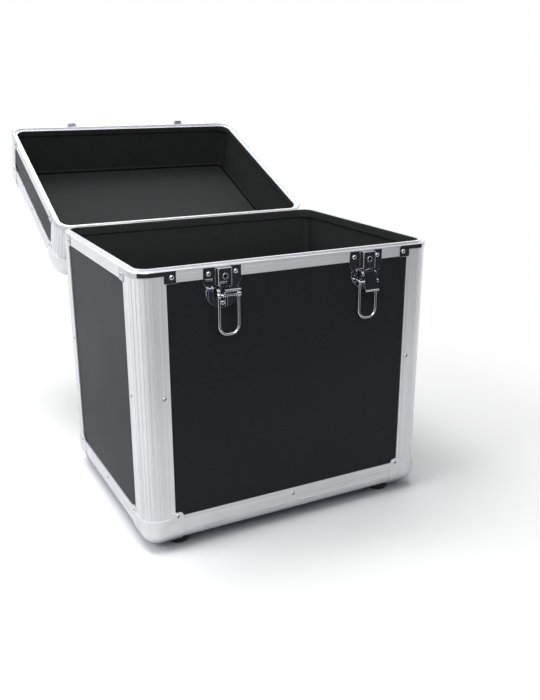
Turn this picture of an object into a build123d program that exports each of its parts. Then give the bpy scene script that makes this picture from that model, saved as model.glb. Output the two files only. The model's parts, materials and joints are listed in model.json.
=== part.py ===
from build123d import *
import math
import os

# Record carrying case: a deep box with a hinged lid, held by two toggle latches.
# Millimetres; +Y is the back, +Z is up. Pieces are drawn about the middle of the body on the floor,
# lid pieces shut and then swung open, and all are moved forward so that the open case is centred.

# Overall sizes
case_width = 375.0
case_depth = 293.0
body_height = 320.3
lid_height = 86.0
foot_height = 7.0
open_angle = 157.0
open_middle = 140.5

# Aluminium edge extrusion, used upright at the corners and along the bottom and lid edges
edge_radius = 20.0
edge_reach = 35.0
skin = 1.2
web_thickness = 1.0
groove_radius = 0.7
groove_count = 6
bead_radius = 0.6
bead_rise = 0.4
inner_radius = 7.0

# Walls, from outside to inside: skin, laminated panel, lining, inner lip of the rim
panel_thickness = 4.0
lining_thickness = 0.8
corner_ease = 0.7
rim_lip = 1.0

# Rims where body and lid meet
rim_face = 13.0
rim_band = 6.0
rim_web = 1.5
rim_inner_depth = 9.0
rim_line_depth = 0.35
rim_line_width = 0.9
tongue_height = 2.7
tongue_inset = 3.2
rim_gap = 0.3

# Ball corners
cap_thickness = 1.2
cap_arm = 44.0
cap_collar = 34.0
cap_tab_height = 41.0
cap_tab_start = 30.0
cap_tab_radius = 5.0
cap_under_reach = 28.0
cap_under_lip = 9.0

# Pressed clips round the rim corners
clip_thickness = 0.8
clip_band = 5.6
clip_tab_start = 32.0
clip_tab_end = 46.0
clip_tab_height = 14.0

# Rubber feet and their screws
foot_radius = 15.0
foot_taper = 2.0
foot_inset_x = 46.0
foot_inset_y = 25.0
screw_head_radius = 4.5
screw_head_height = 2.2
screw_recess = 3.6
screw_clearance = 0.1

# Pop rivets
rivet_radius = 2.6
rivet_top_radius = 1.6
rivet_rise = 1.0
corner_rivet_inset = 28.0
cap_rivet_inset = 37.5
cap_rivet_height = 36.0
clip_rivet_inset = 41.0
edge_rivet_height = 28.0

# Toggle latches, measured outward from the rim face and down from the meeting line
latch_inset = 96.15
latch_shift = 1.85
plate_thickness = 1.0
plate_width = 44.5
plate_drop = 0.8
shoulder_drop = 17.5
waist_drop = 24.5
waist_width = 35.0
bowl_radius = 19.8
bowl_drop = 26.4
wing_rivet_offset = 15.8
wing_rivet_drop = 7.5
bowl_rivet_drop = 40.5
lock_width = 16.5
lock_rise = 9.5
lock_top_drop = 1.3
lock_bottom_drop = 20.3
lock_wall = 1.0
lock_edge_radius = 2.0
keyhole_drop = 9.8
keyhole_radius = 2.2
keyhole_slot_width = 1.4
keyhole_slot_reach = 5.8
keyhole_rim_radius = 3.3
keyhole_rim_rise = 0.3
barrel_radius = 4.6
barrel_depth = 3.5
barrel_bore = 1.7
pivot_out = 7.0
pivot_drop = 26.8
pivot_radius = 1.5
pivot_clearance = 0.06
pin_head_radius = 2.2
pin_head = 0.5
bracket_height = 8.0
bracket_thickness = 0.9
ear_radius = 3.1
slot_width = 2.3
slot_clearance = 0.15
slot_bottom_drop = 36.3

# Lever, drawn shut (hanging down) about its pivot
lever_width = 16.0
lever_end_width = 18.4
lever_sheet = 1.0
lever_face_offset = 3.4
lever_length = 20.5
lever_top = 1.8
lever_lip_radius = 1.2
crank = 10.0
crank_lean = 17.5
lobe_radius = 2.8
lobe_corner = (0.8, 0.6)
ear_gap = 0.2
left_lever_angle = 97.0
right_lever_angle = 17.0

# Wire bail and its pin, drawn hanging from the pin
bail_wire_radius = 1.5
bail_half_width = 11.3
bail_corner_radius = 9.5
bail_eye_radius = 2.8
bail_eye_width = 3.2
bail_pin_radius = 1.4
bail_pin_head_radius = 2.2
bail_pin_head = 0.7
bail_side_gap = 0.1

# Strike plates on the lid
strike_width = 30.0
strike_height = 18.0
strike_thickness = 1.2
strike_lift = 1.6
tab_width = 17.7
tab_top_width = 13.8
tongue_width = 13.4
tongue_tip_width = 11.4
tongue_lift = 0.2
tab_drop = 4.0
tab_out = 2.2
hook_width = 7.6
hook_lift = 3.4
hook_lip_height = 5.0
hook_corner_radius = 1.9
hook_clearance = 0.3
strike_rivet_offset = 11.0
strike_rivet_lift = 14.0
tab_slot_clearance = 0.3

# Hinges at the back
hinge_inset = 77.5
hinge_width = 40.0
hinge_out = 8.0
hinge_drop = 1.3
leaf_thickness = 1.2
leaf_start = 6.0
leaf_end = 27.0
barrel_outer = 3.6
hinge_pin_radius = 1.5
hinge_pin_clearance = 0.06
knuckle_gap = 0.3
lid_knuckle = 11.0
heel_height = 8.4
heel_width = 7.0
heel_root = 2.0
heel_gap = 0.05
leaf_rivet_offset = 12.0
leaf_rivet_distance = 19.0

# Carry handle on the lid
handle_half_span = 52.0
handle_height = 30.0
handle_rod_radius = 3.0
handle_bend_radius = 8.0
handle_pivot_height = 11.0
grip_length = 84.0
grip_width = 22.0
grip_thickness = 18.0
grip_end_radius = 4.0
grip_clearance = 0.05
bracket_width = 12.0
bracket_plate_width = 24.0
bracket_plate_length = 36.0
bracket_plate_thickness = 1.5
bracket_corner_radius = 3.0
bracket_barrel_radius = 5.5
bracket_root = 7.7
bracket_gap = 0.6
handle_end = 1.2
bracket_rivet_x = 7.5
bracket_rivet_y = 13.0

# Heights and places that follow from the sizes above
base = foot_height
parting = base + body_height
lid_bottom = parting + rim_gap
lid_top = lid_bottom + lid_height
half_width = case_width / 2
half_depth = case_depth / 2
wall = skin + panel_thickness
wall_lined = wall + lining_thickness
rim_width = wall_lined + rim_lip
panel_gap = edge_radius + web_thickness
bracket_low = handle_half_span + handle_bend_radius + bracket_gap
latch_offset = half_width - latch_inset
hinge_offset = half_width - hinge_inset
hinge_y = half_depth + hinge_out
hinge_z = parting - hinge_drop
hinge_axis = Axis((0, hinge_y, hinge_z), (1, 0, 0))
diagonal = Plane(origin=(0, 0, 0), z_dir=(1, -1, 0))
sides = ("front", "rear", "left", "right")
corners = [(x, y) for y in (-1, 1) for x in (-1, 1)]
corner_names = {(-1, -1): "front_left", (1, -1): "front_right", (-1, 1): "rear_left", (1, 1): "rear_right"}
latches = {
    "left": (latch_shift - latch_offset, left_lever_angle),
    "right": (latch_shift + latch_offset, right_lever_angle),
}

pieces = {}


def add(name, *solids):
    pieces[name] = list(solids)


def opened(solid):
    return solid.rotate(hinge_axis, -open_angle)


def outline(inset, ease=0):
    # Plan of the case moved in by inset; ease opens the corners so that nested curves stay clear
    return RectangleRounded(case_width - 2 * inset, case_depth - 2 * inset, edge_radius - inset + ease)


def ring(outer, inner, low, high):
    return Pos(0, 0, low) * extrude(outer - inner, high - low)


def wall_block(side, corner_gap, inset, thickness, low, high):
    # A flat block along one side wall that stops short of both corners
    sign = -1 if side in ("front", "left") else 1
    if side in ("front", "rear"):
        place = Pos(0, sign * (half_depth - inset - thickness / 2), (low + high) / 2)
        return place * Box(case_width - 2 * corner_gap, thickness, high - low)
    place = Pos(sign * (half_width - inset - thickness / 2), 0, (low + high) / 2)
    return place * Box(thickness, case_depth - 2 * corner_gap, high - low)


def at_corner(solid, side_x, side_y, height, up=1):
    # Moves a piece drawn at the origin, reaching into +X +Y +Z, to one corner of the case
    if side_x > 0:
        solid = mirror(solid, about=Plane.YZ)
    if side_y > 0:
        solid = mirror(solid, about=Plane.XZ)
    if up < 0:
        solid = mirror(solid, about=Plane.XY)
    return Pos(side_x * half_width, side_y * half_depth, height) * solid


def inside_corner(inset, radius):
    # The square between two inner faces and the extrusion's middle, its outer corner rounded
    width = edge_radius - inset
    square = Pos(inset + width / 2, inset + width / 2) * Rectangle(width, width)
    return fillet(square.vertices().sort_by_distance((0, 0, 0))[0], radius)


def edge_profile():
    # Section of the extrusion with its outer corner at the origin: two flanges, a grooved outer
    # skin, an inner skin that backs it, and two webs that the panel edges butt against
    quarter = Pos(edge_radius / 2, edge_radius / 2) * Rectangle(edge_radius, edge_radius)
    centre = Pos(edge_radius, edge_radius)
    outer = centre * (Circle(edge_radius) - Circle(edge_radius - skin)) & quarter
    inner = inside_corner(wall - web_thickness, inner_radius + web_thickness)
    inner -= inside_corner(wall, inner_radius)
    flange_length = edge_reach - edge_radius
    flange = Pos(edge_radius + flange_length / 2, skin / 2) * Rectangle(flange_length, skin)
    web = Pos(edge_radius + web_thickness / 2, wall / 2) * Rectangle(web_thickness, wall)
    leg = flange + web
    profile = outer + inner + leg + mirror(leg, about=diagonal)
    for index in range(groove_count):
        angle = 180 + 90 * (index + 0.5) / groove_count
        profile -= centre * Rot(0, 0, angle) * Pos(edge_radius, 0) * Circle(groove_radius)
    return profile


def bead_profile():
    # The raised line along the free edge of one flange
    return Pos(edge_reach - bead_radius, bead_radius - bead_rise) * Circle(bead_radius)


def upright_bar(low, high, bead_low, bead_high):
    # One corner extrusion with a bead on both flanges, left off where caps and clips cover it
    bead = Pos(0, 0, bead_low) * extrude(bead_profile(), bead_high - bead_low)
    return Pos(0, 0, low) * extrude(edge_profile(), high - low) + bead + mirror(bead, about=diagonal)


def edge_bar(side, height, up):
    # One extrusion along the bottom or top edge of a side wall, with a bead on its upright flange
    along_x = side in ("front", "rear")
    length = (case_width if along_x else case_depth) - 2 * edge_reach
    bead = mirror(bead_profile(), about=diagonal)
    bar = extrude(Plane.YZ * edge_profile(), length / 2, both=True)
    bar += extrude(Plane.YZ * bead, length / 2 + edge_reach - cap_arm, both=True)
    if up < 0:
        bar = mirror(bar, about=Plane.XY)
    if side == "front":
        return Pos(0, -half_depth, height) * bar
    if side == "rear":
        return Pos(0, half_depth, height) * mirror(bar, about=Plane.XZ)
    left = Pos(-half_width, 0, height) * Rot(0, 0, -90) * bar
    return left if side == "left" else mirror(left, about=Plane.YZ)


def rounded_block(low, far_x, far_y, far_z, radius):
    # A block from low to the far planes, its three near edges rounded into a ball at the vertex
    size = (far_x - low, far_y - low, far_z - low)
    block = Pos(*[low + length / 2 for length in size]) * Box(*size)
    near = Vector(low, low, low)
    edges = [e for e in block.edges() if min((v.center() - near).length for v in e.vertices()) < skin / 100]
    return fillet(edges, radius)


def span_box(x_low, x_high, y_low, y_high, z_low, z_high):
    place = Pos((x_low + x_high) / 2, (y_low + y_high) / 2, (z_low + z_high) / 2)
    return place * Box(x_high - x_low, y_high - y_low, z_high - z_low)


def ball_corner():
    # A pressed shell over the three rounded edges, with a riveted tab on each upright face
    low = -cap_thickness
    shell = rounded_block(low, cap_arm, cap_arm, cap_tab_height, edge_radius + cap_thickness - corner_ease)
    shell -= rounded_block(0, cap_arm, cap_arm, cap_tab_height, edge_radius - corner_ease)
    collar = span_box(low, cap_arm, low, cap_arm, low, cap_collar)
    tab = span_box(cap_tab_start, cap_arm, low, edge_radius / 2, low, cap_tab_height)
    top_edges = tab.edges().filter_by(Axis.Y).group_by(Axis.Z)[-1].sort_by(Axis.X)
    tab = fillet(top_edges[-1], cap_tab_radius)
    under = span_box(cap_under_reach, cap_arm, cap_under_lip, cap_arm, low, edge_radius)
    keep = collar + tab + mirror(tab, about=diagonal) - under - mirror(under, about=diagonal)
    return shell & keep


def rim_clip(low, high, tab_low, tab_high):
    # A thin band round one rim corner with a riveted tab at each end
    shell = outline(-clip_thickness, -corner_ease) - outline(0, -corner_ease)
    near_x = -half_width - clip_thickness
    near_y = -half_depth - clip_thickness
    corner_zone = span_box(near_x, -half_width + clip_tab_end, near_y, -half_depth + clip_tab_end, low, high)
    tabs = span_box(-half_width + clip_tab_start, -half_width + clip_tab_end, near_y, 0, tab_low, tab_high)
    tabs += span_box(near_x, 0, -half_depth + clip_tab_start, -half_depth + clip_tab_end, tab_low, tab_high)
    tall = Pos(0, 0, min(low, tab_low)) * extrude(shell, max(high, tab_high) - min(low, tab_low))
    return tall & (corner_zone + tabs)


def mirrored_corners(solid):
    right = mirror(solid, about=Plane.YZ)
    return [solid, right, mirror(solid, about=Plane.XZ), mirror(right, about=Plane.XZ)]


def rivet(x, y, z, direction):
    # A flat-domed rivet head that stands on a face whose outward normal is direction
    head = Cone(rivet_radius, rivet_top_radius, rivet_rise, align=(Align.CENTER, Align.CENTER, Align.MIN))
    return Plane(origin=(x, y, z), z_dir=direction) * head


def lining(floor, top, up):
    # A thin tray that follows the inside of the walls and of the floor or lid top
    height = top - floor
    trays = []
    for inset in (wall, wall_lined):
        radius = inner_radius + wall - inset + corner_ease
        block = Box(case_width - 2 * inset, case_depth - 2 * inset, height - 2 * inset + edge_radius)
        block = fillet(block.edges().filter_by(Axis.Z) + block.faces().sort_by(Axis.Z)[0].edges(), radius)
        trays.append(Pos(0, 0, inset + (height - 2 * inset + edge_radius) / 2) * block)
    tray = (trays[0] - trays[1]) & Pos(0, 0, height / 2) * Box(case_width, case_depth, height)
    if up < 0:
        tray = mirror(tray, about=Plane.XY)
        return Pos(0, 0, top) * tray
    return Pos(0, 0, floor) * tray


def rim_lines(low, high, side):
    # Two shallow lines pressed along the face of a rim strip
    step = (high - low) / 3
    lines = []
    for index in (1, 2):
        line_low = low + index * step - rim_line_width / 2
        lines.append(wall_block(side, edge_reach, 0, rim_line_depth, line_low, line_low + rim_line_width))
    return lines


def body_rim():
    band_low = parting - rim_band
    inside = outline(rim_width, 2 * corner_ease)
    rim = ring(outline(0), outline(skin), band_low, parting)
    rim += ring(outline(0), inside, parting - rim_web, parting)
    rim += ring(outline(wall_lined, 2 * corner_ease), inside, parting - rim_inner_depth, parting)
    rim += ring(outline(tongue_inset), inside, parting, parting + tongue_height)
    for side in sides:
        rim += wall_block(side, edge_reach, 0, skin, parting - rim_face, band_low)
        for line in rim_lines(parting - rim_face, parting, side):
            rim -= line
    return rim


def lid_rim():
    web_low = parting + tongue_height + rim_gap
    band_high = lid_bottom + rim_band
    inside = outline(rim_width, 2 * corner_ease)
    rim = ring(outline(0), outline(tongue_inset - rim_gap), lid_bottom, web_low + rim_web)
    rim += ring(outline(0), inside, web_low, web_low + rim_web)
    rim += ring(outline(0), outline(skin), web_low, band_high)
    rim += ring(outline(wall_lined, 2 * corner_ease), inside, web_low, web_low + rim_inner_depth)
    for side in sides:
        rim += wall_block(side, edge_reach, 0, skin, band_high, lid_bottom + rim_face)
        for line in rim_lines(lid_bottom, lid_bottom + rim_face, side):
            rim -= line
    return rim


def flat_panel(low, high):
    # The level sheet of the floor or the lid top, inside the webs of the four edges
    far_x = half_width - panel_gap
    far_y = half_depth - panel_gap
    return span_box(-far_x, far_x, -far_y, far_y, low, high)


def make_body():
    panel_top = parting - rim_web
    for side in sides:
        add(side + "_panel", wall_block(side, panel_gap, skin, panel_thickness, base + panel_gap, panel_top))
        add("bottom_edge_" + side, edge_bar(side, base, 1))
    add("bottom_panel", flat_panel(base + skin, base + wall))
    for x, y in corners:
        upright = upright_bar(edge_radius, body_height - rim_band, cap_tab_height, body_height - clip_tab_height)
        add("corner_" + corner_names[x, y], at_corner(upright, x, y, base))
    add("body_rim", body_rim())
    add("body_lining", lining(base, panel_top, 1))
    add("body_ball_corners", *[at_corner(ball_corner(), x, y, base) for x, y in corners])
    clip = rim_clip(parting - clip_band, parting, parting - clip_tab_height, parting)
    add("body_rim_clips", *mirrored_corners(clip))


def make_feet():
    foot = Pos(0, 0, foot_height / 2) * Cone(foot_radius - foot_taper, foot_radius, foot_height)
    recess_radius = screw_head_radius + screw_clearance
    foot -= Pos(0, 0, screw_recess / 2) * Cylinder(recess_radius, screw_recess)
    head = Pos(0, 0, screw_recess - screw_head_height / 2) * Cylinder(screw_head_radius, screw_head_height)
    places = [Pos(x * (half_width - foot_inset_x), y * (half_depth - foot_inset_y), 0) for x, y in corners]
    add("rubber_feet", *[place * foot for place in places])
    add("foot_screws", *[place * head for place in places])


def make_lid():
    web_high = parting + tongue_height + rim_gap + rim_web
    for side in sides:
        panel = wall_block(side, panel_gap, skin, panel_thickness, web_high, lid_top - panel_gap)
        add("lid_" + side + "_panel", opened(panel))
        add("lid_edge_" + side, opened(edge_bar(side, lid_top, -1)))
    add("lid_top_panel", opened(flat_panel(lid_top - wall, lid_top - skin)))
    upright = upright_bar(edge_radius, lid_height - rim_band, cap_tab_height, lid_height - clip_tab_height)
    add("lid_corners", *[opened(at_corner(upright, x, y, lid_top, -1)) for x, y in corners])
    add("lid_rim", opened(lid_rim()))
    add("lid_lining", opened(lining(web_high, lid_top, -1)))
    add("lid_ball_corners", *[opened(at_corner(ball_corner(), x, y, lid_top, -1)) for x, y in corners])
    clip = rim_clip(lid_bottom, lid_bottom + clip_band, lid_bottom, lid_bottom + clip_tab_height)
    add("lid_rim_clips", *[opened(solid) for solid in mirrored_corners(clip)])


def x_cylinder(radius, x_low, x_high, y=0, z=0):
    return Pos((x_low + x_high) / 2, y, z) * Rot(0, 90, 0) * Cylinder(radius, x_high - x_low)


def both_sides(solid):
    return solid + mirror(solid, about=Plane.YZ)


def x_slab(section, x_low, x_high):
    # Extrudes a section drawn in the YZ plane from x_low to x_high
    return Pos(x_low, 0, 0) * extrude(Plane.YZ * section, x_high - x_low, dir=(1, 0, 0))


ear_low = lever_width / 2 + ear_gap
ear_high = ear_low + bracket_thickness
bracket_top = ear_radius - pivot_drop
bracket_bottom = bracket_top - bracket_height


def lock_box(inset):
    # The pressed box that stands out of the plate, or its hollow when inset by the sheet
    half = lock_width / 2 - inset
    box = span_box(-half, half, inset - lock_rise, 0, inset - lock_bottom_drop, -lock_top_drop - inset)
    return fillet(box.faces().sort_by(Axis.Y)[0].edges().filter_by(Axis.Z), lock_edge_radius - inset)


def keyhole(radius, slot_width, slot_reach, depth):
    # A round hole with a slot below it, cut from the front of the lock box to this depth
    cut = Pos(0, -lock_rise + depth / 2, -keyhole_drop) * Rot(90, 0, 0) * Cylinder(radius, depth + lock_wall)
    half = slot_width / 2
    slot_low = -keyhole_drop - slot_reach
    return cut + span_box(-half, half, -lock_rise - lock_wall, depth - lock_rise, slot_low, -keyhole_drop)


def latch_plate():
    # Flat plate with two wings and a round bowl below; the pressed lock box stands out of it
    outline_half = [(plate_width / 2, -plate_drop), (plate_width / 2, -shoulder_drop),
                    (waist_width / 2, -waist_drop), (waist_width / 2, -bowl_drop)]
    shape = Polygon(*[(-x, z) for x, z in outline_half], *reversed(outline_half), align=None)
    below_waist = Pos(0, -waist_drop - bowl_radius) * Rectangle(2 * bowl_radius, 2 * bowl_radius)
    shape += Pos(0, -bowl_drop) * Circle(bowl_radius) & below_waist
    plate = extrude(Plane.XZ * shape, plate_thickness, dir=(0, -1, 0)) + lock_box(0) - lock_box(lock_wall)
    rim_place = Pos(0, -lock_rise - keyhole_rim_rise / 2, -keyhole_drop) * Rot(90, 0, 0)
    plate += rim_place * Cylinder(keyhole_rim_radius, keyhole_rim_rise)
    plate -= keyhole(keyhole_radius, keyhole_slot_width, keyhole_slot_reach, lock_wall)
    mouth_half = lock_width / 2 - lock_wall
    plate -= span_box(-mouth_half, mouth_half, -tab_out - strike_thickness - tab_slot_clearance,
                      -tab_out + tab_slot_clearance, -lock_top_drop - 2 * lock_wall, 0)
    slot_start = ear_low - slot_clearance
    slot = span_box(slot_start, slot_start + slot_width, -plate_thickness, 0,
                    -slot_bottom_drop, bracket_top + slot_clearance)
    return plate - both_sides(slot)


def lock_barrel():
    # The lock's body behind the front of the box, bored for the key
    place = Pos(0, lock_wall - lock_rise + barrel_depth / 2, -keyhole_drop) * Rot(90, 0, 0)
    barrel = place * Cylinder(barrel_radius, barrel_depth)
    return barrel - keyhole(barrel_bore, keyhole_slot_width, 2 * barrel_radius, barrel_depth)


def latch_bracket():
    # A channel behind the plate whose two ears pass through the slots and carry the pivot
    back = span_box(-ear_high, ear_high, 0, bracket_thickness, bracket_bottom, bracket_top)
    section = Polygon((bracket_thickness, bracket_bottom), (-plate_thickness, bracket_bottom),
                      (-pivot_out, -pivot_drop - ear_radius), (-pivot_out, bracket_top),
                      (bracket_thickness, bracket_top), align=None)
    section += Pos(-pivot_out, -pivot_drop) * Circle(ear_radius)
    ear = x_slab(section, ear_low, ear_high)
    hole = x_cylinder(pivot_radius + pivot_clearance / 2, -ear_high, ear_high, -pivot_out, -pivot_drop)
    return back + both_sides(ear) - hole


def headed_pin(radius, half_length, head_radius, head):
    shaft = x_cylinder(radius, -half_length - head, half_length + head)
    return shaft + both_sides(x_cylinder(head_radius, half_length, half_length + head))


def crank_place(angle):
    # Offset of the bail pin from the lever pivot when the lever stands at this angle
    turn = math.radians(angle - crank_lean)
    return -crank * math.sin(turn), -crank * math.cos(turn)


def latch_lever():
    # A folded channel that flares to its free end, with two deep cheeks that hold the pivot and bail pin
    half = lever_width / 2
    end_half = lever_end_width / 2
    inner_face = lever_sheet - lever_face_offset
    pin_y, pin_z = crank_place(0)
    face_outline = Polygon((-half, lever_top), (-end_half, -lever_length), (end_half, -lever_length),
                           (half, lever_top), align=None)
    face = Pos(0, inner_face, 0) * extrude(Plane.XZ * face_outline, lever_sheet, dir=(0, -1, 0))
    lip = x_cylinder(lever_lip_radius, -end_half, end_half, -lever_face_offset, -lever_length)
    corner_y, corner_z = lobe_corner
    cheek = Polygon((-lever_face_offset, lever_top), (-ear_radius, 0), (ear_radius, 0),
                    (pin_y + lobe_radius, pin_z),
                    (pin_y + lobe_radius * corner_y, pin_z - lobe_radius * corner_z),
                    (inner_face, lobe_radius - lever_length),
                    (-lever_face_offset, lobe_radius - lever_length), align=None)
    cheek += Circle(ear_radius) + Pos(pin_y, pin_z) * Circle(lobe_radius)
    lever = face + lip + both_sides(x_slab(cheek, half - lever_sheet, half))
    lever -= x_cylinder(pivot_radius + pivot_clearance, -half, half)
    return lever - x_cylinder(bail_pin_radius + pivot_clearance, -half, half, pin_y, pin_z)


def bail_length():
    # From the pin to the middle of the bar, so that the bar seats in the hook with everything shut
    seat = rim_gap + hook_lift + strike_thickness + hook_clearance + bail_wire_radius
    return seat + pivot_drop - crank_place(0)[1]


def latch_bail():
    drop = bail_length()
    path = FilletPolyline((-bail_half_width, 0, 0), (-bail_half_width, 0, -drop), (bail_half_width, 0, -drop),
                          (bail_half_width, 0, 0), radius=bail_corner_radius)
    start = Plane(origin=(-bail_half_width, 0, 0), z_dir=(0, 0, -1))
    wire = sweep(start * Circle(bail_wire_radius), path=path)
    end = bail_half_width + bail_eye_width / 2
    wire += both_sides(x_cylinder(bail_eye_radius, bail_half_width - bail_eye_width / 2, end))
    return wire - x_cylinder(bail_pin_radius + pivot_clearance, -end, end)


def make_latch(side):
    x, angle = latches[side]
    wall_place = Pos(x, -half_depth, parting)
    pivot_place = wall_place * Pos(0, -pivot_out, -pivot_drop)
    pin_y, pin_z = crank_place(angle)
    pin_place = pivot_place * Pos(0, pin_y, pin_z)
    name = "latch_" + side
    bail_pin_reach = bail_half_width + bail_eye_width / 2 + bail_side_gap
    add(name + "_plate", wall_place * latch_plate())
    add(name + "_lock", wall_place * lock_barrel())
    add(name + "_bracket", wall_place * latch_bracket())
    add(name + "_pivot", pivot_place * headed_pin(pivot_radius, ear_high, pin_head_radius, pin_head))
    add(name + "_lever", pivot_place * Rot(-angle, 0, 0) * latch_lever())
    bail_pin = headed_pin(bail_pin_radius, bail_pin_reach, bail_pin_head_radius, bail_pin_head)
    add(name + "_bail_pin", pin_place * bail_pin)
    add(name + "_bail", pin_place * latch_bail())


def strike():
    # Plate riveted to the lid rim, with a tab that drops into the lock and a hook for the bail
    half = strike_width / 2
    plate = span_box(-half, half, -strike_thickness, 0, strike_lift, strike_lift + strike_height)
    tab_half = [(tab_top_width / 2, strike_lift + strike_thickness), (tab_width / 2, tongue_lift),
                (tongue_width / 2, tongue_lift), (tongue_tip_width / 2, -tab_drop)]
    tab = Polygon(*[(-x, z) for x, z in tab_half], *reversed(tab_half), align=None)
    plate += Pos(0, -tab_out, 0) * extrude(Plane.XZ * tab, strike_thickness, dir=(0, -1, 0))
    plate += span_box(-tab_width / 2, tab_width / 2, -tab_out, 0, strike_lift, strike_lift + strike_thickness)
    hook_half = hook_width / 2
    hook_top = hook_lift + strike_thickness
    lip_out = pivot_out - crank_place(0)[0] + bail_wire_radius + hook_clearance
    lip_front = -lip_out - strike_thickness
    hook = span_box(-hook_half, hook_half, lip_front, -strike_thickness, hook_lift, hook_top)
    lip = span_box(-hook_half, hook_half, lip_front, -lip_out, hook_lift, hook_top + hook_lip_height)
    lip = fillet(lip.edges().filter_by(Axis.Y).group_by(Axis.Z)[-1], hook_corner_radius)
    return plate + hook + lip


def knuckle(x_low, x_high, up):
    # A curled barrel about the pin with its web down (or up) to the leaf; the pin lies at the origin
    inner = leaf_thickness - hinge_out
    reach = barrel_outer - hinge_pin_clearance
    section = Circle(barrel_outer) + Polygon(
        (-hinge_out, up * leaf_start), (inner, up * (leaf_start + leaf_thickness)),
        (0, up * reach), (-reach, 0), (-hinge_out, up * (leaf_start - leaf_thickness)), align=None)
    return x_slab(section, x_low, x_high)


def stop_lug(up):
    # A lug beside the barrels; its sloping face meets the other leaf's lug when the lid is fully open
    slope = math.tan(math.radians((180 - open_angle) / 2))
    half = hinge_width / 2
    section = Polygon((-hinge_out, up * heel_root), (heel_root * slope - heel_gap, up * heel_root),
                      (heel_height * slope - heel_gap, up * heel_height),
                      (-hinge_out, up * (heel_height + hinge_out)), align=None)
    return x_slab(section, half, half + heel_width)


def hinge_leaf(up):
    # up is 1 for the lid leaf and -1 for the body leaf
    half = hinge_width / 2
    plate_half = half + heel_width
    plate_ends = sorted((up * leaf_start, up * leaf_end))
    plate = span_box(-plate_half, plate_half, -hinge_out, leaf_thickness - hinge_out, *plate_ends)
    middle = half - lid_knuckle - knuckle_gap
    spans = [(half - lid_knuckle, half), (-half, lid_knuckle - half)] if up > 0 else [(-middle, middle)]
    leaf = plate + both_sides(stop_lug(up))
    for low, high in spans:
        leaf += knuckle(low, high, up)
    return leaf - x_cylinder(hinge_pin_radius + hinge_pin_clearance, -half, half)


def make_hinge(side, x):
    place = Pos(x, hinge_y, hinge_z)
    name = "hinge_" + side
    add(name + "_body_leaf", place * hinge_leaf(-1))
    add(name + "_lid_leaf", opened(place * hinge_leaf(1)))
    add(name + "_pin", place * x_cylinder(hinge_pin_radius, -hinge_width / 2, hinge_width / 2))


def handle_rod():
    # A bent rod whose ends turn in the brackets; the pivot lies at the origin
    end = bracket_low + bracket_width + handle_end
    path = FilletPolyline((-end, 0, 0), (-handle_half_span, 0, 0), (-handle_half_span, 0, handle_height),
                          (handle_half_span, 0, handle_height), (handle_half_span, 0, 0), (end, 0, 0),
                          radius=handle_bend_radius)
    return sweep(Plane(origin=(-end, 0, 0), z_dir=(1, 0, 0)) * Circle(handle_rod_radius), path=path)


def handle_grip():
    section = Ellipse(grip_width / 2, grip_thickness / 2)
    grip = x_slab(section, -grip_length / 2, grip_length / 2)
    ends = grip.edges().filter_by(GeomType.ELLIPSE)
    grip = fillet(ends, grip_end_radius) if len(ends) == 2 else grip
    grip -= x_cylinder(handle_rod_radius + grip_clearance, -grip_length, grip_length)
    return Pos(0, 0, handle_height) * grip


def handle_bracket():
    # A plate with a barrel that holds one end of the rod; drawn for the +X end
    low = bracket_low
    high = low + bracket_width
    plate = Pos((low + high) / 2, 0, bracket_plate_thickness / 2 - handle_pivot_height)
    plate *= Box(bracket_plate_width, bracket_plate_length, bracket_plate_thickness)
    plate = fillet(plate.edges().filter_by(Axis.Z), bracket_corner_radius)
    section = Circle(bracket_barrel_radius) + Polygon(
        (-bracket_barrel_radius, 0), (bracket_barrel_radius, 0), (bracket_root, -handle_pivot_height),
        (-bracket_root, -handle_pivot_height), align=None)
    block = x_slab(section, low, high)
    bore = x_cylinder(handle_rod_radius + pivot_clearance, low - bracket_width, high + bracket_width)
    return plate + block - bore


def make_handle():
    pivot = Pos(0, 0, lid_top - skin + handle_pivot_height)
    hang = pivot * Rot(open_angle - 180, 0, 0)
    bracket = handle_bracket()
    add("handle_brackets", *[opened(pivot * solid) for solid in (bracket, mirror(bracket, about=Plane.YZ))])
    add("handle_rod", opened(hang * handle_rod()))
    add("handle_grip", opened(hang * handle_grip()))


def wall_rivets(height, inset, faces_out=0):
    # Rivet heads on all eight upright faces beside the corners
    heads = []
    for x, y in corners:
        heads.append(rivet(x * (half_width - inset), y * (half_depth + faces_out), height, (0, y, 0)))
        heads.append(rivet(x * (half_width + faces_out), y * (half_depth - inset), height, (x, 0, 0)))
    return heads


def middle_rivets(height):
    # One head in the middle of each side
    heads = [rivet(0, y * half_depth, height, (0, y, 0)) for y in (-1, 1)]
    return heads + [rivet(x * half_width, 0, height, (x, 0, 0)) for x in (-1, 1)]


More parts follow.
